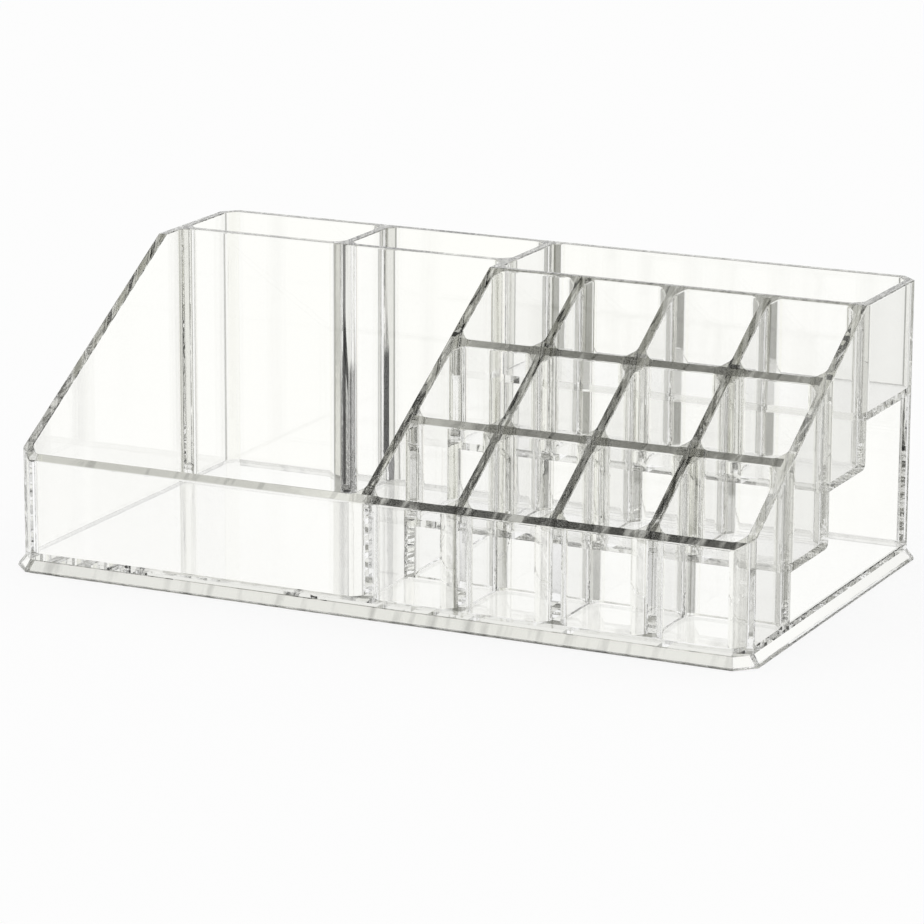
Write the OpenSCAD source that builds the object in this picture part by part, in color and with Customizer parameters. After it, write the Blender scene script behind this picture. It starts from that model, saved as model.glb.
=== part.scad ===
/* [Overall size] */
// Outside width across the two end walls
body_w = 220; // [200:1:260]
// Outside depth from the front wall to the back wall
body_d = 124.5; // [120:0.5:150]
// Height of the tall rims above the table
overall_h = 81; // [76:0.5:110]
// Height of the low front rim above the table
front_h = 32; // [26:0.5:40]
// Cut across each upright outer corner, measured along the wall
corner_chamfer = 4.3; // [3.5:0.1:6]

/* [Walls] */
// Thickness of every upright wall
wall_t = 2.7; // [2:0.1:3.2]
// Leg of the triangular web in each inside corner
web = 2.5; // [1:0.1:3.5]
// Thickness of the raised floors
floor_t = 2.1; // [1.2:0.1:2.6]
// How far the slanted rims run on over the trough wall
rim_lap = 0.8; // [0:0.1:1.5]
// Depth of the post that the right end wall keeps along the back wall, below the trough
rear_post = 2.4; // [0.5:0.1:3]

/* [Base plate] */
// How far the skirt stands out past the walls
skirt_out = 1.9; // [1:0.1:4]
// Upright land at the foot of the skirt
skirt_land = 0.9; // [0.5:0.1:1.5]
// Height of the top of the bevelled skirt above the table
skirt_h = 3.5; // [2.5:0.1:5]
// Upright land between the bevel and the feet of the outer walls
plinth_land = 0.3; // [0.2:0.1:1]
// Depth of the grooves that hold the feet of the walls, below the inside floor
groove_depth = 1.2; // [0.6:0.1:2.2]

/* [Tray and tall pockets] */
// Clear width of the tray, up to the middle wall
tray_w = 103.8; // [80:0.2:120]
// Clear depth of the tray, up to the wall of the tall pockets
tray_d = 90; // [70:0.5:96]

/* [Stepped cells] */
// Clear depth of one cell
cell_d = 24.6; // [20:0.1:26]
// Underside of the floor of the middle row above the table
middle_row_z = 19; // [14:0.1:22]
// Underside of the floor of the back row above the table
back_row_z = 34.6; // [28:0.1:38]
// Underside of the floor of the trough above the table
trough_z = 48.2; // [44:0.1:56]
// Rounding under the back of each step
step_round = 2.2; // [0.5:0.1:3]

/* [Hidden] */

columns = 4;
rows = 3;
// Each crossing of a divider and a cross wall is halved at this share of its height
halving_share = 0.5;
// Cuts run on past what they cut by this much
overrun = 1;

left_x = -body_w / 2;
right_x = body_w / 2;
front_y = -body_d / 2;
back_y = body_d / 2;
inner_left_x = left_x + wall_t;
inner_right_x = right_x - wall_t;
inner_front_y = front_y + wall_t;
inner_back_y = back_y - wall_t;
groove_z = skirt_h + plinth_land;
base_floor_z = groove_z + groove_depth;

middle_wall_x = inner_left_x + tray_w;
cells_x = middle_wall_x + wall_t;
cell_w = (inner_right_x - cells_x - (columns - 1) * wall_t) / columns;
pocket_wall_y = inner_front_y + tray_d;
pocket_w = (tray_w - wall_t) / 2;
pocket_partition_x = inner_left_x + pocket_w;
// The trough wall is the last of the cross walls
front_cross_y = row_y(0) + cell_d;
rear_cross_y = row_y(1) + cell_d;
trough_wall_y = row_y(2) + cell_d;
// Floor of each row of cells: its upper face
row_floor_zs = [base_floor_z, middle_row_z + floor_t, back_row_z + floor_t];
// Foot of the wall behind each row, flush with the underside of that row's floor
row_foot_zs = [groove_z, middle_row_z, back_row_z];
slope_end_y = trough_wall_y + rim_lap;

clear_tint = [0.86, 0.88, 0.86, 0.45];
edge_tint = [0.62, 0.65, 0.62, 0.6];

// Front of a row of cells, counted from the front
function row_y(row) = inner_front_y + row * (cell_d + wall_t);
// Left side of a column of cells, counted from the middle wall
function column_x(column) = cells_x + column * (cell_w + wall_t);
// Height of the slanted rim plane at a depth
function rim_z(y) = front_h + (overall_h - front_h) * (y - front_y) / (slope_end_y - front_y);
// Height at which a divider and the wall behind a row meet in their halving joint
function halving_z(row) = row_foot_zs[row]
    + halving_share * (rim_z(row_y(row) + cell_d + wall_t / 2) - row_foot_zs[row]);

// A block given by its lowest and highest corners
module block(low, high) {
    translate(low) cube(high - low);
}

// An outline in depth and height, drawn out across the width between two places
module drawn_across(from_x, to_x) {
    translate([from_x, 0, 0]) rotate([90, 0, 90]) linear_extrude(to_x - from_x) children();
}

// The outside of all walls in plan, with its four corners cut off
module body_plan() {
    c = corner_chamfer;
    polygon([
        [left_x + c, front_y], [right_x - c, front_y], [right_x, front_y + c], [right_x, back_y - c],
        [right_x - c, back_y], [left_x + c, back_y], [left_x, back_y - c], [left_x, front_y + c]
    ]);
}

// The space under the rims: one slanted plane from the front rim up to the trough wall, level behind it
module rim_space() {
    drawn_across(left_x - overrun, right_x + overrun) polygon([
        [front_y - overrun, 0], [back_y + overrun, 0], [back_y + overrun, overall_h],
        [slope_end_y, overall_h], [front_y - overrun, rim_z(front_y - overrun)]
    ]);
}

// Trims whatever stands in the body to the rims and to the cut corners
module within_body() {
    intersection() {
        children();
        rim_space();
        linear_extrude(overall_h) body_plan();
    }
}

// One slice of the base plate across a pair of opposite sides: land, bevel, then the upright plinth
module skirt_section(half, reach) {
    rotate([90, 0, 0]) linear_extrude(2 * reach, center = true) polygon([
        [-half - skirt_out, 0], [half + skirt_out, 0], [half + skirt_out, skirt_land], [half, skirt_h],
        [half, base_floor_z], [-half, base_floor_z], [-half, skirt_h], [-half - skirt_out, skirt_land]
    ]);
}

// Bevelled plate whose eight sides all have the same section
module skirted_plate() {
    diagonal_half = ((body_w + body_d) / 2 - corner_chamfer) / sqrt(2);
    reach = body_w + body_d;
    intersection() {
        skirt_section(body_w / 2, reach);
        rotate([0, 0, 90]) skirt_section(body_d / 2, reach);
        rotate([0, 0, 45]) skirt_section(diagonal_half, reach);
        rotate([0, 0, -45]) skirt_section(diagonal_half, reach);
    }
}

// What is left outside a quarter round at the lower back edge of a step
module step_relief(y, z) {
    r = step_round;
    drawn_across(cells_x - overrun, right_x + overrun) translate([y - r, z + r]) difference() {
        translate([0, -r - overrun]) square([r + overrun, r + overrun]);
        circle(r, $fn = 48);
    }
}

// The reliefs of the two steps that hang clear of the base plate
module step_reliefs() {
    for (row = [1, 2]) step_relief(row_y(row) + cell_d + wall_t, row_foot_zs[row]);
}

// The open space under the steps, as it cuts the right end wall
module under_steps() {
    for (step = [[0, middle_row_z], [1, back_row_z], [2, trough_z]]) block(
        [cells_x, row_y(step[0]) + cell_d + wall_t, 0],
        [right_x + overrun, inner_back_y - rear_post, step[1]]
    );
}

// An upright wall across the cells behind one row, rounded under its back where it hangs clear
module wall_behind_row(row) {
    y = row_y(row) + cell_d;
    within_body() difference() {
        block([cells_x, y, row_foot_zs[row]], [inner_right_x, y + wall_t, overall_h]);
        step_reliefs();
    }
}

// Slots from below that let the dividers pass the wall behind a row
module halving_slots(row) {
    y = row_y(row) + cell_d;
    for (column = [1 : columns - 1]) block(
        [column_x(column) - wall_t, y - overrun, row_foot_zs[row] - overrun],
        [column_x(column), y + wall_t + overrun, halving_z(row)]
    );
}

// Floor of one raised row
module row_floor(row) {
    block(
        [cells_x, row_y(row), row_floor_zs[row] - floor_t],
        [inner_right_x, row_y(row) + cell_d, row_floor_zs[row]]
    );
}

// Divider to the left of a column, with a foot at each row's floor and slots from above for the cross walls
module divider(column) {
    x = column_x(column) - wall_t;
    color(clear_tint) within_body() difference() {
        for (row = [0 : rows - 1]) {
            foot_z = row == 0 ? groove_z : row_floor_zs[row];
            block([x, row_y(row), foot_z], [x + wall_t, row_y(row) + cell_d, overall_h]);
            if (row < rows - 1) block(
                [x, row_y(row) + cell_d, row_foot_zs[row]],
                [x + wall_t, row_y(row + 1), halving_z(row)]
            );
        }
        step_reliefs();
    }
}

// Webs up the four inside corners of a compartment
module corner_webs(x, y, width, depth, floor_z) {
    color(edge_tint) within_body() for (side = [0, 1], end = [0, 1])
        translate([x + side * width, y + end * depth, floor_z]) mirror([side, 0, 0]) mirror([0, end, 0])
            linear_extrude(overall_h) polygon([[0, 0], [web, 0], [0, web]]);
}

// Webs of all cells in a row
module row_corner_webs(row) {
    for (column = [0 : columns - 1])
        corner_webs(column_x(column), row_y(row), cell_w, cell_d, row_floor_zs[row]);
}

// Groove for the foot of a wall, given by its lowest and highest corners in plan
module foot_groove(low, high) {
    block([low[0], low[1], groove_z], [high[0], high[1], base_floor_z + overrun]);
}

module base_plate() {
    front_cross_back_y = front_cross_y + wall_t;
    color(clear_tint) difference() {
        skirted_plate();
        foot_groove([left_x - overrun, front_y - overrun], [right_x + overrun, inner_front_y]);
        foot_groove([left_x - overrun, inner_back_y], [right_x + overrun, back_y + overrun]);
        foot_groove([left_x - overrun, front_y], [inner_left_x, back_y]);
        foot_groove([inner_right_x, front_y], [right_x + overrun, front_cross_back_y]);
        foot_groove([inner_right_x, inner_back_y - rear_post], [right_x + overrun, back_y]);
        foot_groove([middle_wall_x, front_y], [cells_x, back_y]);
        foot_groove([left_x, pocket_wall_y], [cells_x, pocket_wall_y + wall_t]);
        foot_groove([pocket_partition_x, pocket_wall_y], [pocket_partition_x + wall_t, back_y]);
        foot_groove([middle_wall_x, front_cross_y], [right_x, front_cross_back_y]);
        for (column = [1 : columns - 1])
            foot_groove([column_x(column) - wall_t, front_y], [column_x(column), front_cross_back_y]);
    }
}

module front_wall() {
    color(clear_tint) within_body()
        block([left_x, front_y, groove_z], [right_x, inner_front_y, overall_h]);
}

module back_wall() {
    color(clear_tint) within_body()
        block([left_x, inner_back_y, groove_z], [right_x, back_y, overall_h]);
}

module left_end_wall() {
    color(clear_tint) within_body()
        block([left_x, inner_front_y, groove_z], [inner_left_x, inner_back_y, overall_h]);
}

module middle_wall() {
    color(clear_tint) within_body()
        block([middle_wall_x, inner_front_y, groove_z], [cells_x, inner_back_y, overall_h]);
}

module right_end_wall() {
    color(clear_tint) within_body() difference() {
        block([inner_right_x, inner_front_y, groove_z], [right_x, inner_back_y, overall_h]);
        under_steps();
        step_reliefs();
    }
}

module pocket_front_wall() {
    color(clear_tint) within_body()
        block([inner_left_x, pocket_wall_y, groove_z], [middle_wall_x, pocket_wall_y + wall_t, overall_h]);
}

module pocket_partition() {
    x = pocket_partition_x;
    color(clear_tint) within_body()
        block([x, pocket_wall_y + wall_t, groove_z], [x + wall_t, inner_back_y, overall_h]);
}

module trough_front_wall() {
    color(clear_tint) wall_behind_row(2);
}

module trough_floor() {
    color(clear_tint)
        block([cells_x, trough_wall_y + wall_t, trough_z], [inner_right_x, inner_back_y, trough_z + floor_t]);
}

module middle_row_floor() {
    color(clear_tint) row_floor(1);
}

module back_row_floor() {
    color(clear_tint) row_floor(2);
}

module front_cross_wall() {
    color(clear_tint) difference() {
        wall_behind_row(0);
        halving_slots(0);
    }
}

module rear_cross_wall() {
    color(clear_tint) difference() {
        wall_behind_row(1);
        halving_slots(1);
    }
}

module tray_corner_webs() {
    corner_webs(inner_left_x, inner_front_y, tray_w, tray_d, base_floor_z);
}

module pocket_corner_webs(x) {
    y = pocket_wall_y + wall_t;
    corner_webs(x, y, pocket_w, inner_back_y - y, base_floor_z);
}

module trough_corner_webs() {
    y = trough_wall_y + wall_t;
    corner_webs(cells_x, y, inner_right_x - cells_x, inner_back_y - y, trough_z + floor_t);
}

base_plate();
front_wall();
back_wall();
left_end_wall();
middle_wall();
right_end_wall();
pocket_front_wall();
pocket_partition();
trough_front_wall();
trough_floor();
middle_row_floor();
back_row_floor();
front_cross_wall();
rear_cross_wall();
divider(1);  // divider_left
divider(2);  // divider_centre
divider(3);  // divider_right
tray_corner_webs();
pocket_corner_webs(inner_left_x);  // left_pocket_corner_webs
pocket_corner_webs(pocket_partition_x + wall_t);  // right_pocket_corner_webs
trough_corner_webs();
row_corner_webs(0);  // front_row_corner_webs
row_corner_webs(1);  // middle_row_corner_webs
row_corner_webs(2);  // back_row_corner_webs
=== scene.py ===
"""Looks of a clear vanity organizer: its plastic, the stage it stands on, and the camera."""
import functools
import math
from typing import NamedTuple

import bmesh
import bpy
from bpy.props import FloatProperty, FloatVectorProperty, IntProperty, PointerProperty
from mathutils import Matrix, Vector
from mathutils.bvhtree import BVHTree


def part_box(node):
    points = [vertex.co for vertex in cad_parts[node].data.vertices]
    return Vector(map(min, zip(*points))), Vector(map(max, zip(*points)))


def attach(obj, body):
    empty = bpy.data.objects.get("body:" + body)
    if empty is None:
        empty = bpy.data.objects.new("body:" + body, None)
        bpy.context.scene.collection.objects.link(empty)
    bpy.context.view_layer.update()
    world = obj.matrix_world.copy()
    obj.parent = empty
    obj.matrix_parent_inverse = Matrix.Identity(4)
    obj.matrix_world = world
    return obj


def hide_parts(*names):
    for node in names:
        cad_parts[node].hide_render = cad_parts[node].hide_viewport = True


bl_info = {
    "name": "Clear vanity organizer",
    "version": (1, 0, 0),
    "blender": (4, 5, 0),
    "location": "View3D > Sidebar > Organizer",
    "description": "Makes the organizer's clear plastic pieces and the stage they stand on",
    "category": "Object",
}

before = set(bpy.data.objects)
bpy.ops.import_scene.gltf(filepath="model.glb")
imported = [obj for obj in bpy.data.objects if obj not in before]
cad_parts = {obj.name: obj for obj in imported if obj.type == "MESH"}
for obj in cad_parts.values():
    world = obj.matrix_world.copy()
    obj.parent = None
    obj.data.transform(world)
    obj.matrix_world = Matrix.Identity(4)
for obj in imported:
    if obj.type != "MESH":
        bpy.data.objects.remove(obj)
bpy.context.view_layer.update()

X, Y, Z = 0, 1, 2
MICROMETRE_DIGITS = 6
# Cutting blocks reach past the body by this much
MARGIN = 0.004
# Two places closer than this are one place
TOUCH = 0.000002
# Two levels closer than this are one level
NEAR = 0.00003
# A face on the body's skin seems at most this far from it, because the search for the nearest point is rough on
# narrow strips. A point lifted off such a face by LIFT is at least LIFTED away from the skin.
SKIN_NEAR, LIFT, LIFTED = 0.00015, 0.0003, 0.0002
# Narrower turns than this stay unbevelled
SHARP_ANGLE = math.radians(20)
# Faces turned less than this against each other are one face
FLAT_ANGLE = math.radians(0.5)
STEP_ARC_SEGMENTS = 12
# A face looks along an axis where its normal has this much of it
FACING = 0.9
# The skirt's faces that look to the front: not down, and sideways less than this share of forwards
NOT_DOWN, FORWARDS = -0.5, 0.75
# An eased corner of a compartment ends within this many times its ease from the web
EASE_REACH = 1.5

DIVIDERS = ("divider_left", "divider_centre", "divider_right")
CROSS_WALLS = ("front_cross_wall", "rear_cross_wall", "trough_front_wall")
DECKS = ("middle_row_floor", "back_row_floor", "trough_floor")
CELL_WEBS = ("front_row_corner_webs", "middle_row_corner_webs", "back_row_corner_webs")

PLASTIC, RIM, JOINT, BOND = 0, 1, 2, 3
# Walls that run from front to back; their butt ends face along Y, and those of the others along X
FRONT_TO_BACK = (*DIVIDERS, "middle_wall", "pocket_partition", "left_end_wall", "right_end_wall")
IN_GROOVES = (*FRONT_TO_BACK, "front_wall", "back_wall", "pocket_front_wall", "front_cross_wall")
# Nodes whose part of space gives way to that of others
GIVES_WAY = {"front_cross_wall": DIVIDERS, "rear_cross_wall": DIVIDERS, "base_plate": IN_GROOVES}
# A piece's volume, as a share of its CAD node's; the base plate is hollow below
LEAST_SHARE, LEAST_BASE_SHARE, MOST_SHARE = 0.97, 0.5, 1.1
TRIES = 4
# The sizes that shape the pieces
CUT_SIZES = ("edge_radius", "edge_segments", "corner_ease", "corner_segments", "floor_thickness", "foot_width")

# Where noise counts as the edge of a patch, and as the start and the middle of a painted highlight streak and of a
# painted shade streak
PATCH_EDGES = (0.42, 0.58)
PAINTED_HIGHLIGHT_STREAK_EDGES, PAINTED_SHADE_STREAK_EDGES = (0.44, 0.32), (0.55, 0.64)
# Tone and warmth of the painted highlight streaks and of the painted shade streaks in the rims
PAINTED_HIGHLIGHT_STREAK, PAINTED_SHADE_STREAK = (1, 0.03), (0.015, 0.06)
# Streaks per metre along each axis: painted highlight and shade in the slanted rims and in the rims across, and in
# the bonds
SLANTED_PAINTED_STREAKS, ACROSS_PAINTED_STREAKS, BOND_GRAIN = (900, 110, 110), (280, 60, 60), (500, 500, 14)
BOND_STREAK_EDGES = (0.5, 0.62)
# Warmth of the bonds' streaks, and of the partition's wedge of painted shade
BOND_WARMTH, WEDGE_SHADE_WARMTH = 0.05, 0.03
# The wedge of painted shade in the partition's bond, in thicknesses of the partition: how far its tip is from the
# top, how much lower it is full, how far its middle is from the partition's, half its full width, and its soft edge
WEDGE_TIP, WEDGE_LENGTH, WEDGE_ASIDE, WEDGE_HALF, WEDGE_EDGE = 6, 12, 0.15, 0.5, 0.05
# The webs and the rims across have waves so many times as fine as the flat faces
FINE_WAVES = 4
# What a shadow keeps of the light behind one face of the plastic
LET_THROUGH = 0.97

# How much yellow the stage's light patches, its middle tones and its darkest patches have
LIGHT_WARMTH, MIDDLE_WARMTH, DARK_WARMTH = 0.04, 0.05, 0.06
FLOOR_WHITE, FLOOR_GAP = 0.9, 0.0002
CEILING_PATCHES, FLOOR_PATCHES = 5, 9
# Degrees from straight behind: a gap beside the sweep, from its edge, then narrow cards, and the open front
GAP_START, GAP_END, SOFT_EDGE, CARD_EDGE = 2.5, 8.5, 2.5, 2
NEAR_CARD, FAR_CARD, GUIDED_CARD = (55, 58), (100, 104), (47, 58)
SIDES_START, SIDES_FULL, FRONT_START, FRONT_FULL = 3, 9, 108, 120
# Heights in the world, as the sine of the angle above the horizon, at which one tone goes over to the next
CARDS_LOW, CEILING_EDGES, STEEP_EDGES, UNDER_EDGES = (0.02, -0.06), (0.35, 0.7), (-0.4, -0.7), (-0.88, -0.95)
ONCE, TWICE = 0.5, 1.5
SENSOR_WIDTH, NEAREST, FARTHEST = 36, 0.01, 50
# Clear walls behind clear walls need many bounces
BOUNCES, CLEAR_BOUNCES = 48, 64


def points(node):
    """Corner points of a CAD node at rest."""
    return [tuple(round(c, MICROMETRE_DIGITS) for c in v.co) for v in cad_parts[node].data.vertices]


def levels(node, axis):
    """Places along an axis at which a CAD node has corners, in order."""
    return sorted({p[axis] for p in points(node)})


def span(node, axis):
    """Where a CAD node begins and ends along an axis."""
    found = levels(node, axis)
    return found[0], found[-1]


class Plan:
    """Places of the walls, floors and compartments, read from the CAD nodes, in metres."""

    def __init__(self):
        self.left, self.in_left = span("left_end_wall", X)
        self.in_right, self.right = span("right_end_wall", X)
        self.front, self.in_front = span("front_wall", Y)
        self.in_back, self.back = span("back_wall", Y)
        self.groove, self.top = span("left_end_wall", Z)
        self.middle = span("middle_wall", X)
        self.pocket_wall = span("pocket_front_wall", Y)
        self.partition = span("pocket_partition", X)
        self.dividers = [span(node, X) for node in DIVIDERS]
        self.cross = [span(node, Y) for node in CROSS_WALLS]
        self.decks = [span(node, Z) for node in DECKS]
        self.land, self.skirt = levels("base_plate", Z)[1:3]
        self.skirt_out = span("base_plate", X)[1] - self.right
        self.floor = span("base_plate", Z)[1]
        self.chamfer = self.right - max(p[X] for p in points("back_wall") if p[Y] == self.back)
        tray = levels("tray_corner_webs", X)
        self.web = tray[1] - tray[0]
        self.front_rim = max(p[Z] for p in points("front_wall") if p[Y] == self.front)
        self.slope_end = min(p[Y] for p in points("left_end_wall") if p[Z] == self.top)
        side = points("right_end_wall")
        self.step_round = self.cross[1][1] - max(p[Y] for p in side if p[Z] == self.decks[0][0])
        self.post = min(p[Y] for p in side if p[Y] > self.cross[2][1] and p[Z] < self.decks[2][0])
        slot = self.dividers[0][0]
        self.halvings = [max(p[Z] for p in points(node) if p[X] == slot) for node in CROSS_WALLS[:2]]
        self.rows = list(zip([self.in_front] + [c[1] for c in self.cross[:2]], [c[0] for c in self.cross]))
        sides = [self.middle, *self.dividers, (self.in_right, self.right)]
        self.columns = [(a[1], b[0]) for a, b in zip(sides, sides[1:])]
        self.row_floors = [self.floor, self.decks[0][1], self.decks[1][1]]

    def compartments(self):
        """Each compartment's node of corner webs, its sides in plan and its floor."""
        pocket_back = (self.pocket_wall[1], self.in_back)
        tray_depth = (self.in_front, self.pocket_wall[0])
        yield "tray_corner_webs", (self.in_left, self.middle[0]), tray_depth, self.floor
        yield "left_pocket_corner_webs", (self.in_left, self.partition[0]), pocket_back, self.floor
        yield "right_pocket_corner_webs", (self.partition[1], self.middle[0]), pocket_back, self.floor
        trough_depth = (self.cross[2][1], self.in_back)
        yield "trough_corner_webs", (self.middle[1], self.in_right), trough_depth, self.decks[2][1]
        for webs, row, floor in zip(CELL_WEBS, self.rows, self.row_floors):
            for column in self.columns:
                yield webs, column, row, floor


plan = Plan()


def add_prism(bm, outline, axis, low, high):
    """Adds an outline in the two other axes, drawn out along an axis."""
    def place(p, level):
        return {X: (level, *p), Y: (p[0], level, p[1]), Z: (*p, level)}[axis]

    face = bm.faces.new([bm.verts.new(place(p, low)) for p in outline])
    drawn = bmesh.ops.extrude_face_region(bm, geom=[face])["geom"]
    for v in drawn:
        if isinstance(v, bmesh.types.BMVert):
            v.co[axis] = high


def add_block(bm, across, along, up):
    """Adds a block given by where it begins and ends on each axis."""
    (x0, x1), (y0, y1) = across, along
    add_prism(bm, [(x0, y0), (x1, y0), (x1, y1), (x0, y1)], Z, *up)


def finished(bm, name):
    """Turns a bmesh into a mesh whose faces point outwards."""
    bmesh.ops.recalc_face_normals(bm, faces=bm.faces)
    mesh = bpy.data.meshes.new(name)
    bm.to_mesh(mesh)
    bm.free()
    return mesh


def cut(mesh, tool, operation):
    """Applies one exact Boolean of two meshes and returns the new mesh."""
    body, cutter = bpy.data.objects.new("body", mesh), bpy.data.objects.new("cutter", tool)
    for o in (body, cutter):
        bpy.context.scene.collection.objects.link(o)
    step = body.modifiers.new("cut", "BOOLEAN")
    step.operation, step.object, step.solver = operation, cutter, "EXACT"
    result = bpy.data.meshes.new_from_object(body.evaluated_get(bpy.context.evaluated_depsgraph_get()))
    for o in (body, cutter):
        bpy.data.objects.remove(o)
    return result


def outline(out):
    """Eight-sided plan of the body, moved out by a distance."""
    x, y = plan.right + out, plan.back + out
    c = plan.chamfer + out * (1 - math.tan(math.pi / 8))
    quarter = [(x - c, y), (x, y - c)]
    return [(sx * a, sy * b) for sx, sy, turn in ((1, 1, 1), (1, -1, -1), (-1, -1, 1), (-1, 1, -1))
            for a, b in quarter[::turn]]


def stacked(rings):
    """A solid through the body's plan at each ring, given as how far it is moved out and its height."""
    bm = bmesh.new()
    corners = [Vector((*p, rings[0][1])) for p in outline(rings[0][0])]
    face = bm.faces.new([bm.verts.new(p) for p in corners])
    for number, (out, level) in enumerate(rings[1:]):
        drawn = bmesh.ops.extrude_face_region(bm, geom=[face])["geom"]
        if number:
            bmesh.ops.delete(bm, geom=[face], context="FACES_ONLY")
        targets = [Vector((*p, level)) for p in outline(out)]
        for v in (g for g in drawn if isinstance(g, bmesh.types.BMVert)):
            nearest = min(range(len(corners)), key=lambda i: (corners[i] - v.co).length)
            v.co = targets[nearest]
        face = next(g for g in drawn if isinstance(g, bmesh.types.BMFace))
        corners = targets
    return bm


def outer_body():
    """The organizer's outside as one solid: skirt, upright sides, slanted and level top."""
    bm = stacked([(plan.skirt_out, 0), (plan.skirt_out, plan.land), (0, plan.skirt), (0, plan.top)])
    rise, run = plan.top - plan.front_rim, plan.slope_end - plan.front
    sliced = bmesh.ops.bisect_plane(bm, geom=bm.verts[:] + bm.edges[:] + bm.faces[:], clear_outer=True,
                                    plane_co=(0, plan.slope_end, plan.top), plane_no=(0, -rise, run))
    bmesh.ops.edgeloop_fill(bm, edges=[g for g in sliced["geom_cut"] if isinstance(g, bmesh.types.BMEdge)])
    return finished(bm, "outside")


def hollows():
    """The room inside every compartment, with the corners that the webs take cut off and eased."""
    sizes = bpy.context.scene.organizer_plastic
    bm = bmesh.new()
    w = plan.web
    for _, (x0, x1), (y0, y1), floor in plan.compartments():
        room = [(x0 + w, y0), (x1 - w, y0), (x1, y0 + w), (x1, y1 - w),
                (x1 - w, y1), (x0 + w, y1), (x0, y1 - w), (x0, y0 + w)]
        add_prism(bm, room, Z, floor, plan.top + MARGIN)
    upright = [e for e in bm.edges if abs(e.verts[0].co.z - e.verts[1].co.z) > MARGIN]
    bmesh.ops.bevel(bm, geom=upright, affect="EDGES", offset_type="OFFSET", offset=sizes.corner_ease,
                    segments=sizes.corner_segments, profile=0.5, material=-1, clamp_overlap=False)
    return finished(bm, "hollows")


def under_steps():
    """The open space below the raised rows and the trough, as it leaves the right side."""
    r = plan.step_round
    stair = [(plan.cross[0][1], plan.floor), (plan.cross[0][1], plan.decks[0][0])]
    for (_, back), (foot, _), (next_foot, _) in zip(plan.cross[1:], plan.decks, plan.decks[1:]):
        for i in range(STEP_ARC_SEGMENTS + 1):
            turn = i * math.pi / 2 / STEP_ARC_SEGMENTS
            stair.append((back - r + r * math.sin(turn), foot + r - r * math.cos(turn)))
        stair.append((back, next_foot))
    stair += [(plan.post, plan.decks[2][0]), (plan.post, plan.floor)]
    bm = bmesh.new()
    add_prism(bm, stair, X, plan.middle[1], plan.right + MARGIN)
    return finished(bm, "under_steps")


def behind_post():
    """The rest of the open space, between the rear post and the middle wall."""
    bm = bmesh.new()
    add_block(bm, (plan.middle[1], plan.in_right), (plan.post, plan.in_back), (plan.floor, plan.decks[2][0]))
    return finished(bm, "behind_post")


def underside():
    """The shallow room under the base, whose sides run along the bevel of the skirt."""
    sizes = bpy.context.scene.organizer_plastic
    lean = plan.skirt_out / (plan.skirt - plan.land)
    reach = plan.skirt_out - sizes.foot_width
    high = plan.floor - sizes.floor_thickness
    return finished(stacked([(reach + lean * MARGIN, -MARGIN), (reach - lean * high, high)]), "underside")


def whole_body():
    """The organizer as one closed skin with softened edges."""
    mesh = outer_body()
    for room in (hollows(), under_steps(), behind_post(), underside()):
        mesh = cut(mesh, room, "DIFFERENCE")
    bm = bmesh.new()
    bm.from_mesh(mesh)
    bmesh.ops.remove_doubles(bm, verts=bm.verts, dist=TOUCH)
    bmesh.ops.dissolve_limit(bm, angle_limit=FLAT_ANGLE, verts=bm.verts, edges=bm.edges)
    sizes = bpy.context.scene.organizer_plastic
    edges = [e for e in bm.edges if e.is_convex and e.calc_face_angle() > SHARP_ANGLE]
    bmesh.ops.bevel(bm, geom=edges, affect="EDGES", offset_type="OFFSET", offset=sizes.edge_radius,
                    segments=sizes.edge_segments, profile=0.5, material=-1, clamp_overlap=False,
                    miter_outer="SHARP")
    return finished(bm, "whole")


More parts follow.
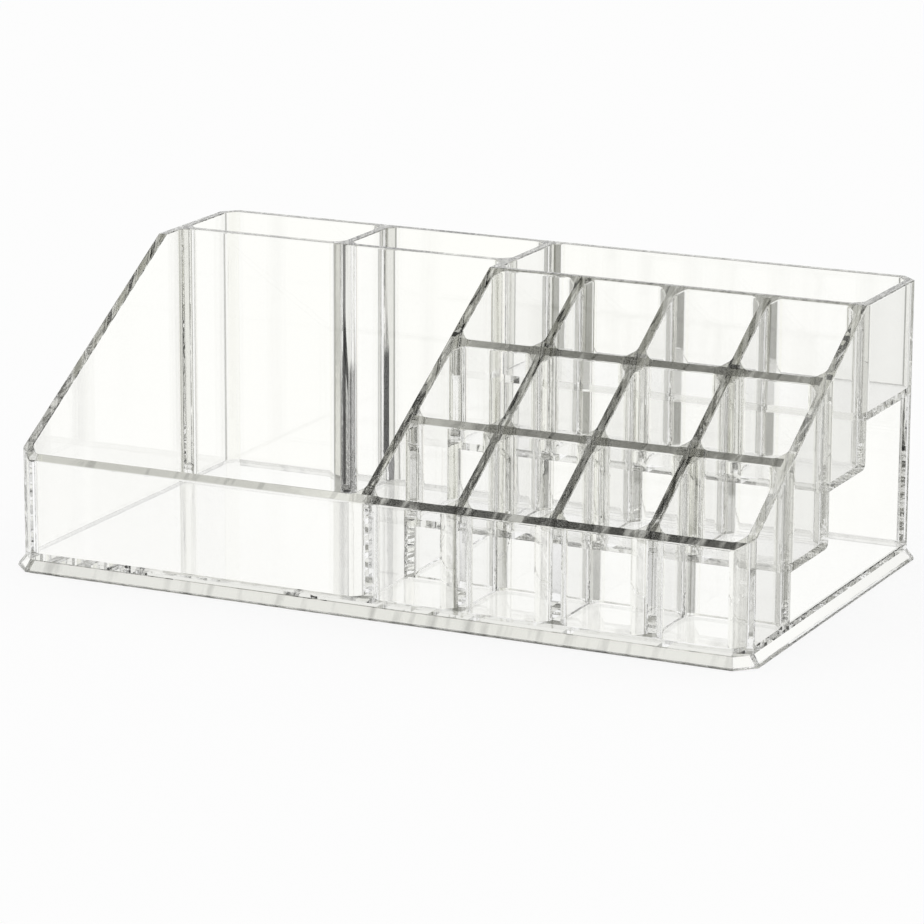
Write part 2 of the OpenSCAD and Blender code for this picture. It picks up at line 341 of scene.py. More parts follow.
def cells():
    """Which part of space each CAD node's plastic takes, before it gives way to others."""
    p = plan
    high = p.top + MARGIN
    reach = p.web + EASE_REACH * bpy.context.scene.organizer_plastic.corner_ease
    made = {}
    for webs, (x0, x1), (y0, y1), floor in p.compartments():
        bm = made.setdefault(webs, bmesh.new())
        for across in ((x0, x0 + reach), (x1 - reach, x1)):
            for along in ((y0, y0 + reach), (y1 - reach, y1)):
                add_block(bm, across, along, (floor, high))
    for node, (x0, x1) in zip(DIVIDERS, p.dividers):
        bm = made[node] = bmesh.new()
        side = [(p.in_front, p.groove), (p.cross[0][1], p.groove), (p.cross[0][1], p.row_floors[1]),
                (p.cross[1][0], p.row_floors[1]), (p.cross[1][0], p.decks[0][0] - MARGIN),
                (p.cross[1][1], p.decks[0][0] - MARGIN), (p.cross[1][1], p.row_floors[2]),
                (p.cross[2][0], p.row_floors[2]), (p.cross[2][0], high)]
        for (y0, y1), level in zip(p.cross[1::-1], p.halvings[::-1]):
            side += [(y1, high), (y1, level), (y0, level), (y0, high)]
        add_prism(bm, side + [(p.in_front, high)], X, x0, x1)

    def block(node, across, along, up):
        made[node] = bmesh.new()
        add_block(made[node], across, along, up)

    inside = (p.middle[1], p.in_right)
    wide = (p.left - MARGIN, p.right + MARGIN)
    upright = (p.groove, high)
    block("front_cross_wall", inside, p.cross[0], upright)
    block("rear_cross_wall", inside, p.cross[1], (p.decks[0][0] - MARGIN, high))
    block("trough_front_wall", inside, p.cross[2], (p.decks[1][0] - MARGIN, high))
    for node, along, (low, top) in zip(DECKS, (*p.rows[1:], (p.cross[2][1], p.in_back)), p.decks):
        block(node, inside, along, (low - MARGIN, top))
    block("middle_wall", p.middle, (p.in_front, p.in_back), upright)
    block("pocket_front_wall", (p.in_left, p.middle[0]), p.pocket_wall, upright)
    block("pocket_partition", p.partition, (p.pocket_wall[1], p.in_back), upright)
    block("left_end_wall", (wide[0], p.in_left), (p.in_front, p.in_back), upright)
    bm = made["right_end_wall"] = bmesh.new()
    clear = p.floor + MARGIN
    add_prism(bm, [(p.in_front, p.groove), (p.cross[0][1], p.groove), (p.cross[0][1], clear), (p.post, clear),
                   (p.post, p.groove), (p.in_back, p.groove), (p.in_back, high), (p.in_front, high)],
              X, p.in_right, wide[1])
    block("front_wall", wide, (p.front - MARGIN, p.in_front), upright)
    block("back_wall", wide, (p.in_back, p.back + MARGIN), upright)
    deep = (p.front - MARGIN, p.back + MARGIN)
    block("base_plate", wide, deep, (-MARGIN, p.floor))
    return {node: finished(bm, "cell_" + node) for node, bm in made.items()}


def marked(node, mesh, skin):
    """Gives each face of a piece its slot: plain plastic, rim or skirt with painted shade, bonded joint or bonded
    butt end.
    """
    end = Y if node in FRONT_TO_BACK else X
    solid_wall = node not in (*DECKS, "base_plate") and not node.endswith("webs")
    slope = Vector((0, plan.front_rim - plan.top, plan.slope_end - plan.front)).normalized()
    peak = Vector((0, plan.slope_end, plan.top))
    mesh.calc_loop_triangles()
    # A face is judged by its largest triangle, whose middle surely lies on it
    widest = {}
    for t in mesh.loop_triangles:
        if t.polygon_index not in widest or t.area > widest[t.polygon_index].area:
            widest[t.polygon_index] = t
    for index, t in widest.items():
        centre = sum((mesh.vertices[v].co for v in t.vertices), Vector()) / 3
        distance, lifted = (skin.find_nearest(p)[3] for p in (centre, centre + LIFT * t.normal))
        if distance > SKIN_NEAR or lifted < LIFTED:
            butt_end = solid_wall and abs(t.normal[end]) > FACING
            partition_side = node == "pocket_partition" and abs(t.normal.x) > FACING
            kind = BOND if butt_end or partition_side else JOINT
        elif (node == "base_plate" and centre.z < plan.skirt + NEAR and t.normal.z > NOT_DOWN
              and abs(t.normal.x) < FORWARDS * abs(t.normal.y)):
            kind = RIM
        elif max((centre - peak).dot(slope), centre.z - plan.top) > -NEAR:
            kind = RIM
        else:
            kind = PLASTIC
        mesh.polygons[index].material_index = kind
    return mesh


def measured(mesh):
    """The room that a mesh takes up, and whether it is closed."""
    bm = bmesh.new()
    bm.from_mesh(mesh)
    room, closed = bm.calc_volume(), all(e.is_manifold for e in bm.edges)
    bm.free()
    return room, closed


def whole_piece(node, mesh):
    """Whether a piece is closed, fills its CAD node's box and takes up as much room as it should."""
    if not mesh.vertices:
        return False
    low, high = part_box(node)
    for axis in (X, Y, Z):
        places = [v.co[axis] for v in mesh.vertices]
        if abs(min(places) - low[axis]) > NEAR or abs(max(places) - high[axis]) > NEAR:
            return False
    room, closed = measured(mesh)
    filled = room / measured(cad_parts[node].data)[0]
    return closed and (LEAST_BASE_SHARE if node == "base_plate" else LEAST_SHARE) < filled < MOST_SHARE


def pieces():
    """Every CAD node's plastic, cut out of the softened whole."""
    meshes_before = set(bpy.data.meshes)
    whole = whole_body()
    bm = bmesh.new()
    bm.from_mesh(whole)
    skin = BVHTree.FromBMesh(bm)
    bm.free()
    space = cells()
    made = {}
    for node, own in space.items():
        for other in GIVES_WAY.get(node, ()):
            own = cut(own, space[other], "DIFFERENCE")
        made[node] = marked(node, cut(whole, own, "INTERSECT"), skin)
    for mesh in set(bpy.data.meshes) - meshes_before - set(made.values()):
        bpy.data.meshes.remove(mesh)
    return made


@functools.cache
def shapes(sizes):
    """The pieces at these sizes, made again where Blender's Boolean has lost a part of one, as it rarely does."""
    for _ in range(TRIES):
        made = pieces()
        if all(whole_piece(node, mesh) for node, mesh in made.items()):
            return made
    raise RuntimeError(f"the pieces could not be cut out of the whole at {dict(zip(CUT_SIZES, sizes))}")


def link(tree, value, socket):
    """Feeds a socket from another socket, or sets it."""
    if isinstance(value, bpy.types.NodeSocket):
        tree.links.new(value, socket)
    else:
        socket.default_value = value


def calculate(tree, operation, *values, clamp=False):
    """One Math node; returns its output."""
    node = tree.nodes.new("ShaderNodeMath")
    node.operation, node.use_clamp = operation, clamp
    for value, socket in zip(values, node.inputs):
        link(tree, value, socket)
    return node.outputs[0]


def blend(tree, amount, first, second):
    """One colour Mix node; returns its output."""
    node = tree.nodes.new("ShaderNodeMix")
    node.data_type = "RGBA"
    sockets = {socket.identifier: socket for socket in node.inputs}
    for value, name in ((amount, "Factor_Float"), (first, "A_Color"), (second, "B_Color")):
        link(tree, value, sockets[name])
    return next(o for o in node.outputs if o.type == "RGBA")


def ease(tree, value, start, end):
    """Goes smoothly from zero to one as a value goes from start to end."""
    node = tree.nodes.new("ShaderNodeMapRange")
    node.interpolation_type = "SMOOTHSTEP"
    link(tree, value, node.inputs["Value"])
    node.inputs["From Min"].default_value = start
    node.inputs["From Max"].default_value = end
    return node.outputs["Result"]


def grey(value, warmth=0.0):
    """A grey, a little yellow where it is warm."""
    return (value, value, value * (1 - warmth), 1)


def multiplied(tree, first, second):
    """The product of two colours; returns its output."""
    product = blend(tree, 1.0, first, second)
    product.node.blend_type = "MULTIPLY"
    return product


def patches(tree, place, scale):
    """Soft patches over the stage, from zero to one."""
    noise = tree.nodes.new("ShaderNodeTexNoise")
    noise.inputs["Scale"].default_value = scale
    tree.links.new(place, noise.inputs["Vector"])
    return ease(tree, noise.outputs["Fac"], *PATCH_EDGES)


def shades(tree, turned, stops):
    """Greys round the stage, from white straight behind the organizer to the stops given in degrees."""
    node = tree.nodes.new("ShaderNodeValToRGB")
    tree.links.new(turned, node.inputs["Fac"])
    elements = node.color_ramp.elements
    elements.remove(elements[1])
    elements[0].position, elements[0].color = 0, grey(1, LIGHT_WARMTH)
    for degrees, tone in stops:
        elements.new(degrees / 180).color = grey(tone, LIGHT_WARMTH if tone < 1 else 0)
    return node.outputs["Color"]


def layer(tree, amount, under, over):
    """One Mix Shader node; returns its output."""
    node = tree.nodes.new("ShaderNodeMixShader")
    for value, socket in zip((amount, under, over), node.inputs):
        link(tree, value, socket)
    return node.outputs[0]


def new_material(name):
    """A material with an empty node tree and its output."""
    material = bpy.data.materials.new(name)
    material.use_nodes = True
    tree = material.node_tree
    tree.nodes.clear()
    return material, tree, tree.nodes.new("ShaderNodeOutputMaterial")


def ripples(tree, scale, height):
    """Bump from the slight waves that a mould leaves, on Object coordinates."""
    place = tree.nodes.new("ShaderNodeTexCoord")
    noise = tree.nodes.new("ShaderNodeTexNoise")
    noise.inputs["Scale"].default_value = scale
    noise.inputs["Detail"].default_value = 2
    bump = tree.nodes.new("ShaderNodeBump")
    bump.inputs["Distance"].default_value = height
    bump.inputs["Strength"].default_value = 1
    tree.links.new(place.outputs["Object"], noise.inputs["Vector"])
    tree.links.new(noise.outputs["Fac"], bump.inputs["Height"])
    return bump


def own_place(tree):
    """The Object coordinates, whole and as their parts by name."""
    place = tree.nodes.new("ShaderNodeTexCoord").outputs["Object"]
    parts = tree.nodes.new("ShaderNodeSeparateXYZ")
    tree.links.new(place, parts.inputs[0])
    return place, parts.outputs


def streaks(tree, place, streak_density):
    """Noise with so many waves per metre along each axis."""
    stretch = tree.nodes.new("ShaderNodeMapping")
    stretch.inputs["Scale"].default_value = streak_density
    tree.links.new(place, stretch.inputs["Vector"])
    noise = tree.nodes.new("ShaderNodeTexNoise")
    noise.inputs["Scale"].default_value = 1
    noise.inputs["Detail"].default_value = 2
    tree.links.new(stretch.outputs["Vector"], noise.inputs["Vector"])
    return noise.outputs["Fac"]


class PaintedRimShade(NamedTuple):
    """How a rim's painted shade goes over to another along an axis, with painted highlight and shade streaks."""
    far_painted_shade: tuple
    axis: str
    start: float
    end: float
    streak_density: tuple
    # How unevenly it goes over, how strong the painted highlight and shade streaks are, and the share seen straight
    # through at the start
    patchiness: float
    contrast: float = 0.0
    clearness: float = 0.0


def painted_rim_colour(tree, tint, painted_rim):
    """The rim's colour, painted shade with painted highlight and shade streaks, on Object coordinates."""
    place, parts = own_place(tree)
    depth = ease(tree, parts[painted_rim.axis], painted_rim.start, painted_rim.end)
    streak = streaks(tree, place, painted_rim.streak_density)
    patch = calculate(tree, "MULTIPLY", calculate(tree, "SUBTRACT", streak, 0.5), painted_rim.patchiness)
    amount = calculate(tree, "ADD", depth, patch, clamp=True)
    colour = blend(tree, amount, (*tint, 1), (*painted_rim.far_painted_shade, 1))
    if painted_rim.contrast:
        # Painted highlight streaks, then painted shade streaks, over the painted shade
        light, dark = (calculate(tree, "MULTIPLY", ease(tree, streak, *edges), painted_rim.contrast)
                       for edges in (PAINTED_HIGHLIGHT_STREAK_EDGES, PAINTED_SHADE_STREAK_EDGES))
        colour = blend(tree, dark, blend(tree, light, colour, grey(*PAINTED_HIGHLIGHT_STREAK)), grey(*PAINTED_SHADE_STREAK))
    return colour


@functools.cache
def clear_plastic(name, tint, waves, ior, roughness, painted_rim=None):
    """Clear moulded plastic, whose rims are coloured with painted shade. Shadow rays pass with a slight loss, as a
    share of all rays do where it is thin.
    """
    material, tree, output = new_material(name)
    shader = tree.nodes.new("ShaderNodeBsdfPrincipled")
    shader.inputs["Base Color"].default_value = (*tint, 1)
    # Plain plastic keeps its own tint; rims take painted shade and painted highlight streaks instead
    if painted_rim:
        tree.links.new(painted_rim_colour(tree, tint, painted_rim), shader.inputs["Base Color"])
    shader.inputs["Roughness"].default_value = roughness
    shader.inputs["IOR"].default_value = ior
    shader.inputs["Transmission Weight"].default_value = 1
    tree.links.new(ripples(tree, *waves).outputs["Normal"], shader.inputs["Normal"])
    passing = tree.nodes.new("ShaderNodeBsdfTransparent")
    passing.inputs["Color"].default_value = grey(LET_THROUGH)
    let_through = tree.nodes.new("ShaderNodeLightPath").outputs["Is Shadow Ray"]
    if painted_rim and painted_rim.clearness:
        _, parts = own_place(tree)
        near = ease(tree, parts[painted_rim.axis], painted_rim.end, painted_rim.start)
        thin = calculate(tree, "MULTIPLY", near, painted_rim.clearness)
        let_through = calculate(tree, "MAXIMUM", let_through, thin)
    tree.links.new(layer(tree, let_through, shader.outputs[0], passing.outputs[0]), output.inputs["Surface"])
    return material


@functools.cache
def joint_material():
    """A bonded joint, which can't be seen."""
    material, tree, output = new_material("bonded_joint")
    shader = tree.nodes.new("ShaderNodeBsdfTransparent")
    tree.links.new(shader.outputs[0], output.inputs["Surface"])
    return material


@functools.cache
def bond_material(name, tone, wedge_painted_shade=None):
    """A bonded butt end with soft streaks from top to bottom, and a long wedge of painted shade in the partition's.
    """
    material, tree, output = new_material(name)
    place, parts = own_place(tree)
    streak = ease(tree, streaks(tree, place, BOND_GRAIN), *BOND_STREAK_EDGES)
    colour = blend(tree, streak, grey(1), grey(tone, BOND_WARMTH))
    # The partition's wedge is painted shade, a dark band down the partition's bond
    if wedge_painted_shade is not None:
        width = plan.partition[1] - plan.partition[0]
        tip = plan.top - WEDGE_TIP * width
        middle = sum(plan.partition) / 2 + WEDGE_ASIDE * width
        aside = calculate(tree, "ABSOLUTE", calculate(tree, "SUBTRACT", parts["X"], middle))
        share = ease(tree, parts["Z"], tip, tip - WEDGE_LENGTH * width)
        inside = calculate(tree, "SUBTRACT", calculate(tree, "MULTIPLY", share, WEDGE_HALF * width), aside)
        wedge = ease(tree, inside, -WEDGE_EDGE * width, WEDGE_EDGE * width)
        colour = multiplied(tree, colour, blend(tree, wedge, grey(1), grey(wedge_painted_shade, WEDGE_SHADE_WARMTH)))
    shader = tree.nodes.new("ShaderNodeBsdfTransparent")
    tree.links.new(colour, shader.inputs["Color"])
    tree.links.new(shader.outputs[0], output.inputs["Surface"])
    return material


def rim_look(node, sizes):
    """Name of a node's rim material, with its painted shade, its waves and its painted highlight and shade streaks.
    """
    rim, back = tuple(sizes.rim_painted_shade), tuple(sizes.back_rim_painted_shade)
    flat = (sizes.ripple_scale, sizes.ripple_height)
    fine = (FINE_WAVES * sizes.ripple_scale, sizes.ripple_height)
    rough = (sizes.rim_scale, sizes.rim_height)
    # Each rim's tints are painted shade, going from light to dark along an axis
    if node == "front_wall":
        painted_rim = PaintedRimShade(rim, "X", plan.middle[0], plan.columns[0][0] + plan.web, ACROSS_PAINTED_STREAKS,
                            patchiness=0.8, contrast=0.25, clearness=sizes.tray_rim_clearness)
        return "front_rim_with_painted_shade", sizes.tray_rim_painted_shade, fine, painted_rim
    if node in CROSS_WALLS[:2]:
        painted_rim = PaintedRimShade(tuple(sizes.cross_rim_painted_shade), "X", plan.middle[0], plan.dividers[0][1], ACROSS_PAINTED_STREAKS,
                            patchiness=0.8, contrast=0.3)
        return "cross_rim_with_painted_shade", sizes.light_rim_painted_shade, fine, painted_rim
    if node in DIVIDERS or node == "middle_wall":
        painted_rim = PaintedRimShade(back, "Y", plan.front, plan.slope_end, SLANTED_PAINTED_STREAKS,
                            patchiness=1.0, contrast=sizes.rim_painted_streaks)
        return "divider_rim_with_painted_shade", sizes.divider_rim_painted_shade, rough, painted_rim
    # The skirt's front is painted shade, darker towards the bottom
    if node == "base_plate":
        painted_rim = PaintedRimShade(rim, "Z", 1.1 * plan.land, 0.1 * plan.land, ACROSS_PAINTED_STREAKS, patchiness=2.0)
        return "skirt_with_painted_shade", sizes.skirt_painted_shade, flat, painted_rim
    painted_rim = PaintedRimShade(back, "Y", plan.front, plan.slope_end, SLANTED_PAINTED_STREAKS,
                        patchiness=0.6, contrast=0.6 * sizes.rim_painted_streaks, clearness=sizes.side_rim_clearness)
    return "side_rim_with_painted_shade", sizes.side_rim_painted_shade, rough, painted_rim


def add_piece(node, slot="clear_plastic"):
    """Adds the finished piece of one CAD node."""
    sizes = bpy.context.scene.organizer_plastic
    mesh = shapes(tuple(getattr(sizes, name) for name in CUT_SIZES))[node].copy()
    mesh.name = node + "_clear"
    piece = bpy.data.objects.new(mesh.name, mesh)
    bpy.context.scene.collection.objects.link(piece)
    # The webs' tint darkens them as painted shade in the inside corners
    if slot == "clear_plastic_webs":
        tint, waves = sizes.web_painted_shade, (FINE_WAVES * sizes.ripple_scale, sizes.ripple_height)
    else:
        tint, waves = sizes.tint, (sizes.ripple_scale, sizes.ripple_height)
    mesh.materials.append(clear_plastic(slot, tuple(tint), waves, sizes.ior, sizes.roughness))
    # The rim material, coloured with painted shade
    name, tint, waves, painted_rim = rim_look(node, sizes)
    mesh.materials.append(clear_plastic(name, tuple(tint), waves, sizes.ior, sizes.roughness, painted_rim))
    mesh.materials.append(joint_material())
    if node == "pocket_partition":
        mesh.materials.append(bond_material("bonded_partition_end_with_painted_shade", sizes.bond_tone, sizes.wedge_painted_shade))
    else:
        mesh.materials.append(bond_material("bonded_butt_end", sizes.bond_tone))
    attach(piece, "root")
    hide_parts(node)


def length(name, description, default, least, most):
    """A setting in metres."""
    return FloatProperty(name=name, description=description, default=default, min=least, max=most, precision=6,
                         unit="LENGTH")


def share(name, description, default):
    """A setting from none to all, or from black to white."""
    return FloatProperty(name=name, description=description, default=default, min=0, max=1, subtype="FACTOR")


def colour(name, description, default):
    """A setting for a tint."""
    return FloatVectorProperty(name=name, description=description, default=default, min=0, max=1, subtype="COLOR")


class OrganizerPlastic(bpy.types.PropertyGroup):
    """Sizes and colours of the clear plastic."""
    edge_radius: length("Edge radius", "Radius of the softened edges", 0.00035, 0.0001, 0.0006)
    edge_segments: IntProperty(
        name="Edge segments", description="Faces across each softened edge", default=4, min=1, max=6)
    corner_ease: length("Corner ease", "How far the upright inside corners are eased", 0.0008, 0.0002, 0.0012)
    corner_segments: IntProperty(
        name="Corner segments", description="Faces across each eased corner", default=6, min=1, max=12)
    floor_thickness: length("Floor thickness", "Floor above the hollow underside", 0.0026, 0.0015, 0.004)
    foot_width: length("Foot width", "Width of the foot all round the hollow underside", 0.0019, 0.0015, 0.006)
    ior: FloatProperty(
        name="Refraction", description="Index of refraction of the plastic", default=1.49, min=1.3, max=1.7)
    roughness: share("Roughness", "Roughness of the polished faces", 0)
    tint: colour("Tint", "Colour of the plastic", (1, 1, 0.999))
    # Painted shade in the inside corners
    web_painted_shade: colour("Web tint", "Colour of the corner webs", (0.945, 0.945, 0.905))
    # The rim and skirt tints down to the tray rim's are painted shade, light and dark, not the plastic's own colour
    rim_painted_shade: colour("Rim tint", "Colour of the rims across, at the front", (0.011, 0.011, 0.01))
    light_rim_painted_shade: colour("Light rim tint", "Colour of the rims across, beside the tray", (0.42, 0.42, 0.39))
    cross_rim_painted_shade: colour("Cross rim tint", "Colour of the rims across, inside", (0.135, 0.135, 0.123))
    divider_rim_painted_shade: colour("Divider rim tint", "Colour of the slanted rims inside", (0.07, 0.07, 0.064))
    side_rim_painted_shade: colour("Side rim tint", "Colour of the slanted rims at the sides", (1, 1, 0.97))
    back_rim_painted_shade: colour("Level rim tint", "Colour of the level rims at the back", (0.44, 0.44, 0.415))
    skirt_painted_shade: colour("Skirt tint", "Colour of the skirt along the front", (0.68, 0.68, 0.65))
    tray_rim_painted_shade: colour("Tray rim tint", "Colour of the rim in front of the tray", (0.97, 0.97, 0.92))
    tray_rim_clearness: share("Tray rim clearness", "Share seen straight through this rim", 0.06)
    side_rim_clearness: share("Side rim clearness", "Share seen straight through the rims at the sides", 0.35)
    # Strength of the painted highlight and shade streaks along the slanted rims
    rim_painted_streaks: share("Rim streaks", "Strength of the streaks along the slanted rims", 1)
    bond_tone: share("Bond streaks", "Tone of the streaks in the bonded butt ends", 0.62)
    # A wedge of painted shade
    wedge_painted_shade: share("Bond wedge", "Tone of the dark wedge in the partition's bond", 0.06)
    ripple_scale: FloatProperty(
        name="Ripple scale", description="Waves of the mould's surface per metre", default=60, min=1, max=400)
    ripple_height: length("Ripple height", "Height of the mould's waves", 0.00002, 0, 0.0005)
    rim_scale: FloatProperty(
        name="Rim ripple scale", description="Waves of the slanted rims per metre", default=150, min=1, max=2000)
    rim_height: length("Rim ripple height", "Height of the waves of the slanted rims", 0.00002, 0, 0.0005)


class OrganizerStage(bpy.types.PropertyGroup):
    """Camera, light and floor."""
    camera_place: FloatVectorProperty(
        name="Camera place", description="Where the camera stands", default=(0.518153, -1.093097, 0.338707),
        subtype="TRANSLATION", unit="LENGTH")
    camera_yaw: FloatProperty(
        name="Camera turn", description="Turn of the camera to the right", default=-0.444097, subtype="ANGLE")
    camera_pitch: FloatProperty(
        name="Camera tilt", description="How far the camera looks down", default=0.250394, subtype="ANGLE")
    camera_roll: FloatProperty(
        name="Camera roll", description="Roll of the camera about its own view", default=-0.004513, subtype="ANGLE")
    lens: FloatProperty(
        name="Lens", description="Focal length in millimetres", default=173.492, min=20, max=400)
    floor_size: length("Floor size", "Side of the pale floor", 12, 1, 50)
    sweep_half_angle: FloatProperty(
        name="Sweep", description="Half the angle that the white sweep behind takes up",
        default=math.radians(18), min=0.1, max=1.5, subtype="ANGLE")
    gap_tone: share("Gap", "Tone of the narrow gap beside the sweep", 0.42)
    card_tone: share("Side cards", "Tone of the narrow dark cards at the sides", 0.22)
    side_light: share("Sides, light", "Light patches beside the sweep, seen through the plastic", 0.8)
    side_dark: share("Sides, dark", "Dark patches beside the sweep, seen through the plastic", 0.42)
    mirrored_dark: share("Sides, mirrored", "Dark patches beside the sweep, mirrored once", 0.6)
    guided_dark: share("Sides, guided", "Dark patches beside the sweep, mirrored often", 0.36)
    guided_sweep: share("Sweep, guided", "Tone of the sweep, mirrored often", 0.85)
    low_tone: share("Steep floor", "Tone under the organizer, seen at a steep angle", 0.85)
    low_dark: share("Steep floor, dark", "Tone of the dark patches under the organizer", 0.62)
    top_tone: share("Ceiling", "Tone of the room above", 0.65)
    top_dark: share("Ceiling patches", "Tone of the dark patches above", 0.08)
    top_through: share("Ceiling seen through", "Tone above, seen straight through", 0.8)
    patch_scale: FloatProperty(
        name="Patches", description="How small the patches beside the sweep are", default=7, min=0, max=40)
    floor_glow: share("Floor glow", "Share of the floor's white that takes no shadow", 0.85)


class ORGANIZER_OT_base(bpy.types.Operator):
    """Add the base plate with its bevelled skirt"""
    bl_idname = "organizer.add_base"
    bl_label = "Base plate"

    def execute(self, context):
        add_piece("base_plate")
        return {"FINISHED"}


class ORGANIZER_OT_outer_walls(bpy.types.Operator):
    """Add the front, back and end walls"""
    bl_idname = "organizer.add_outer_walls"
    bl_label = "Outer walls"

    def execute(self, context):
        for node in ("front_wall", "back_wall", "left_end_wall", "right_end_wall"):
            add_piece(node)
        return {"FINISHED"}


class ORGANIZER_OT_inner_walls(bpy.types.Operator):
    """Add the middle wall, the walls of the tall pockets and the wall of the trough"""
    bl_idname = "organizer.add_inner_walls"
    bl_label = "Inner walls"

    def execute(self, context):
        for node in ("middle_wall", "pocket_front_wall", "pocket_partition", "trough_front_wall"):
            add_piece(node)
        return {"FINISHED"}


class ORGANIZER_OT_grid(bpy.types.Operator):
    """Add the dividers and the cross walls of the stepped cells"""
    bl_idname = "organizer.add_grid"
    bl_label = "Grid of cells"

    def execute(self, context):
        for node in (*DIVIDERS, *CROSS_WALLS[:2]):
            add_piece(node)
        return {"FINISHED"}


class ORGANIZER_OT_decks(bpy.types.Operator):
    """Add the raised floors of the cells and the trough"""
    bl_idname = "organizer.add_decks"
    bl_label = "Raised floors"

    def execute(self, context):
        for node in DECKS:
            add_piece(node)
        return {"FINISHED"}


class ORGANIZER_OT_webs(bpy.types.Operator):
    """Add the webs in the inside corners"""
    bl_idname = "organizer.add_webs"
    bl_label = "Corner webs"

    def execute(self, context):
        for node in dict.fromkeys(webs for webs, *_ in plan.compartments()):
            add_piece(node, "clear_plastic_webs")
        return {"FINISHED"}


def add_floor(settings):
    """Adds the pale floor, which takes a faint shadow and lets the plastic show the world in its place."""
    bm = bmesh.new()
    bmesh.ops.create_grid(bm, x_segments=1, y_segments=1, size=settings.floor_size / 2)
    bmesh.ops.translate(bm, vec=(0, 0, -FLOOR_GAP), verts=bm.verts)
    mesh = finished(bm, "floor")
    floor = bpy.data.objects.new("floor", mesh)
    bpy.context.scene.collection.objects.link(floor)
    material, tree, output = new_material("pale_floor")
    diffuse = tree.nodes.new("ShaderNodeBsdfDiffuse")
    diffuse.inputs["Color"].default_value = grey(FLOOR_WHITE)
    glow = tree.nodes.new("ShaderNodeEmission")
    glow.inputs["Color"].default_value = grey(1)
    passing = tree.nodes.new("ShaderNodeBsdfTransparent")
    path = tree.nodes.new("ShaderNodeLightPath").outputs
    seen = calculate(tree, "MULTIPLY", path["Is Camera Ray"], settings.floor_glow)
    shown = layer(tree, seen, diffuse.outputs[0], glow.outputs[0])
    through = calculate(tree, "MAXIMUM", path["Is Transmission Ray"], path["Is Glossy Ray"])
    tree.links.new(layer(tree, through, shown, passing.outputs[0]), output.inputs["Surface"])
    mesh.materials.append(material)


def cards(spans, tone):
    """Stops for narrow cards, given by where each begins and ends, on white."""
    stops = []
    for start, end in spans:
        stops += [(start - CARD_EDGE, 1), (start, tone), (end, tone), (end + CARD_EDGE, 1)]
    return stops


def degrees_aside(tree, place, yaw):
    """A direction's turn from straight behind the organizer, 1 for 180 degrees, and how far it points up."""
    parts = tree.nodes.new("ShaderNodeSeparateXYZ")
    tree.links.new(place, parts.inputs[0])
    x, y, up = parts.outputs
    # Slightly over one, so that straight up and down don't divide by zero
    flat = calculate(tree, "SQRT", calculate(tree, "SUBTRACT", 1.0001, calculate(tree, "MULTIPLY", up, up)))
    ahead = calculate(tree, "ADD", calculate(tree, "MULTIPLY", x, math.sin(yaw)),
                      calculate(tree, "MULTIPLY", y, math.cos(yaw)))
    turn = calculate(tree, "ARCCOSINE", calculate(tree, "DIVIDE", ahead, flat))
    return calculate(tree, "DIVIDE", turn, math.pi), up


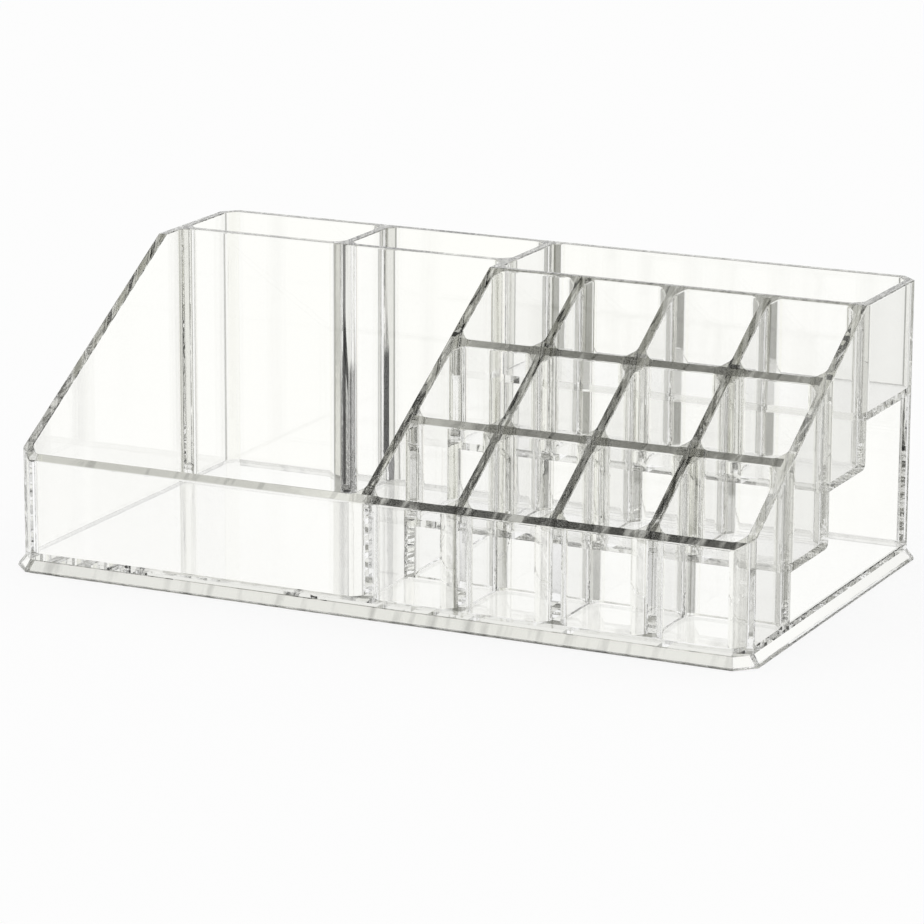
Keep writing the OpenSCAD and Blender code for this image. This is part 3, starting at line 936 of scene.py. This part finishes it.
def add_world(settings):
    """Lights the stage: a white sweep behind, patchy sides with narrow dark cards, a patchy ceiling and floor."""
    world = bpy.data.worlds.new("studio")
    bpy.context.scene.world = world
    world.use_nodes = True
    tree = world.node_tree
    tree.nodes.clear()
    output = tree.nodes.new("ShaderNodeOutputWorld")
    place = tree.nodes.new("ShaderNodeTexCoord").outputs["Generated"]
    turned, up = degrees_aside(tree, place, settings.camera_yaw)
    path = tree.nodes.new("ShaderNodeLightPath").outputs
    mirrored = calculate(tree, "GREATER_THAN", path["Glossy Depth"], ONCE)
    guided = calculate(tree, "GREATER_THAN", path["Glossy Depth"], TWICE)
    white = grey(1)

    # The sides: light patches seen through the plastic, and darker ones where it mirrors them
    patch = patches(tree, place, settings.patch_scale)
    through = blend(tree, patch, grey(settings.side_light, LIGHT_WARMTH), grey(settings.side_dark, DARK_WARMTH))
    once = blend(tree, patch, white, grey(settings.mirrored_dark, MIDDLE_WARMTH))
    often = blend(tree, patch, white, grey(settings.guided_dark, DARK_WARMTH))
    low_cards = shades(tree, turned, cards([GUIDED_CARD], settings.card_tone))
    often = blend(tree, ease(tree, up, *CARDS_LOW), often, multiplied(tree, often, low_cards))
    sides = blend(tree, guided, blend(tree, mirrored, through, once), often)
    before = ease(tree, turned, FRONT_START / 180, FRONT_FULL / 180)
    sides = blend(tree, calculate(tree, "MULTIPLY", before, calculate(tree, "SUBTRACT", 1, guided)), sides, white)

    # The sweep, and what is beside it
    edge = math.degrees(settings.sweep_half_angle)
    gap = settings.gap_tone
    strips = shades(tree, turned, [
        (edge, 1), (edge + GAP_START, gap), (edge + GAP_END, gap), (edge + GAP_END + SOFT_EDGE, 1),
        *cards([NEAR_CARD, FAR_CARD], settings.card_tone)])
    sweep = blend(tree, guided, white, grey(settings.guided_sweep, LIGHT_WARMTH))
    beside = ease(tree, turned, (edge + SIDES_START) / 180, (edge + SIDES_FULL) / 180)
    around = blend(tree, beside, sweep, sides)
    around = blend(tree, mirrored, multiplied(tree, around, strips), around)

    # The ceiling above, and the floor's tones below
    ceiling = blend(tree, patches(tree, place, CEILING_PATCHES), grey(settings.top_tone, MIDDLE_WARMTH),
                    grey(settings.top_dark, MIDDLE_WARMTH))
    ceiling = blend(tree, mirrored, grey(settings.top_through), ceiling)
    tone = blend(tree, ease(tree, up, *CEILING_EDGES), around, ceiling)
    floor = blend(tree, patches(tree, place, FLOOR_PATCHES), grey(settings.low_tone, MIDDLE_WARMTH),
                  grey(settings.low_dark, MIDDLE_WARMTH))
    steep = blend(tree, mirrored, floor, multiplied(tree, around, floor))
    steep = blend(tree, ease(tree, up, *UNDER_EDGES), steep, white)
    tone = blend(tree, ease(tree, up, *STEEP_EDGES), tone, steep)

    # White for the camera itself, and for the light on what isn't clear
    plain = calculate(tree, "MAXIMUM", path["Is Diffuse Ray"], path["Is Camera Ray"])
    tone = blend(tree, plain, tone, white)
    glow = tree.nodes.new("ShaderNodeBackground")
    tree.links.new(tone, glow.inputs["Color"])
    tree.links.new(glow.outputs[0], output.inputs["Surface"])


def add_camera(settings):
    """Stands the camera where the photograph was taken from."""
    data = bpy.data.cameras.new("camera")
    data.lens = settings.lens
    data.sensor_width = SENSOR_WIDTH
    data.clip_start, data.clip_end = NEAREST, FARTHEST
    camera = bpy.data.objects.new("camera", data)
    bpy.context.scene.collection.objects.link(camera)
    yaw, pitch, roll = settings.camera_yaw, settings.camera_pitch, settings.camera_roll
    ahead = Vector((math.sin(yaw) * math.cos(pitch), math.cos(yaw) * math.cos(pitch), -math.sin(pitch)))
    side = Vector((math.cos(yaw), -math.sin(yaw), 0))
    down = ahead.cross(side)
    right = math.cos(roll) * side + math.sin(roll) * down
    up = math.sin(roll) * side - math.cos(roll) * down
    turn = Matrix((right, up, -ahead)).transposed()
    camera.matrix_world = Matrix.Translation(settings.camera_place) @ turn.to_4x4()
    bpy.context.scene.camera = camera


class ORGANIZER_OT_stage(bpy.types.Operator):
    """Add the floor, the light and the camera"""
    bl_idname = "organizer.add_stage"
    bl_label = "Stage"

    def execute(self, context):
        scene = context.scene
        add_floor(scene.organizer_stage)
        add_world(scene.organizer_stage)
        add_camera(scene.organizer_stage)
        scene.view_settings.view_transform = "Standard"
        scene.cycles.max_bounces = BOUNCES
        scene.cycles.transmission_bounces = BOUNCES
        scene.cycles.glossy_bounces = BOUNCES
        scene.cycles.transparent_max_bounces = CLEAR_BOUNCES
        return {"FINISHED"}


OPERATORS = (ORGANIZER_OT_base, ORGANIZER_OT_outer_walls, ORGANIZER_OT_inner_walls, ORGANIZER_OT_grid,
             ORGANIZER_OT_decks, ORGANIZER_OT_webs, ORGANIZER_OT_stage)


class ORGANIZER_PT_panel(bpy.types.Panel):
    """Lists the organizer's pieces and settings"""
    bl_label = "Organizer"
    bl_idname = "ORGANIZER_PT_panel"
    bl_space_type = "VIEW_3D"
    bl_region_type = "UI"
    bl_category = "Organizer"

    def draw(self, context):
        for group in (context.scene.organizer_plastic, context.scene.organizer_stage):
            for name in group.__annotations__:
                self.layout.prop(group, name)
        for operator in OPERATORS:
            self.layout.operator(operator.bl_idname)


CLASSES = (OrganizerPlastic, OrganizerStage, *OPERATORS, ORGANIZER_PT_panel)


def register():
    """Makes the settings, operators and panel known to Blender."""
    for cls in CLASSES:
        bpy.utils.register_class(cls)
    bpy.types.Scene.organizer_plastic = PointerProperty(type=OrganizerPlastic)
    bpy.types.Scene.organizer_stage = PointerProperty(type=OrganizerStage)


def unregister():
    """Takes back what register() did."""
    del bpy.types.Scene.organizer_stage
    del bpy.types.Scene.organizer_plastic
    for cls in reversed(CLASSES):
        bpy.utils.unregister_class(cls)


def main():
    register()
    bpy.ops.organizer.add_base()
    bpy.ops.organizer.add_outer_walls()
    bpy.ops.organizer.add_inner_walls()
    bpy.ops.organizer.add_grid()
    bpy.ops.organizer.add_decks()
    bpy.ops.organizer.add_webs()
    bpy.ops.organizer.add_stage()


if __name__ == "__main__":
    main()
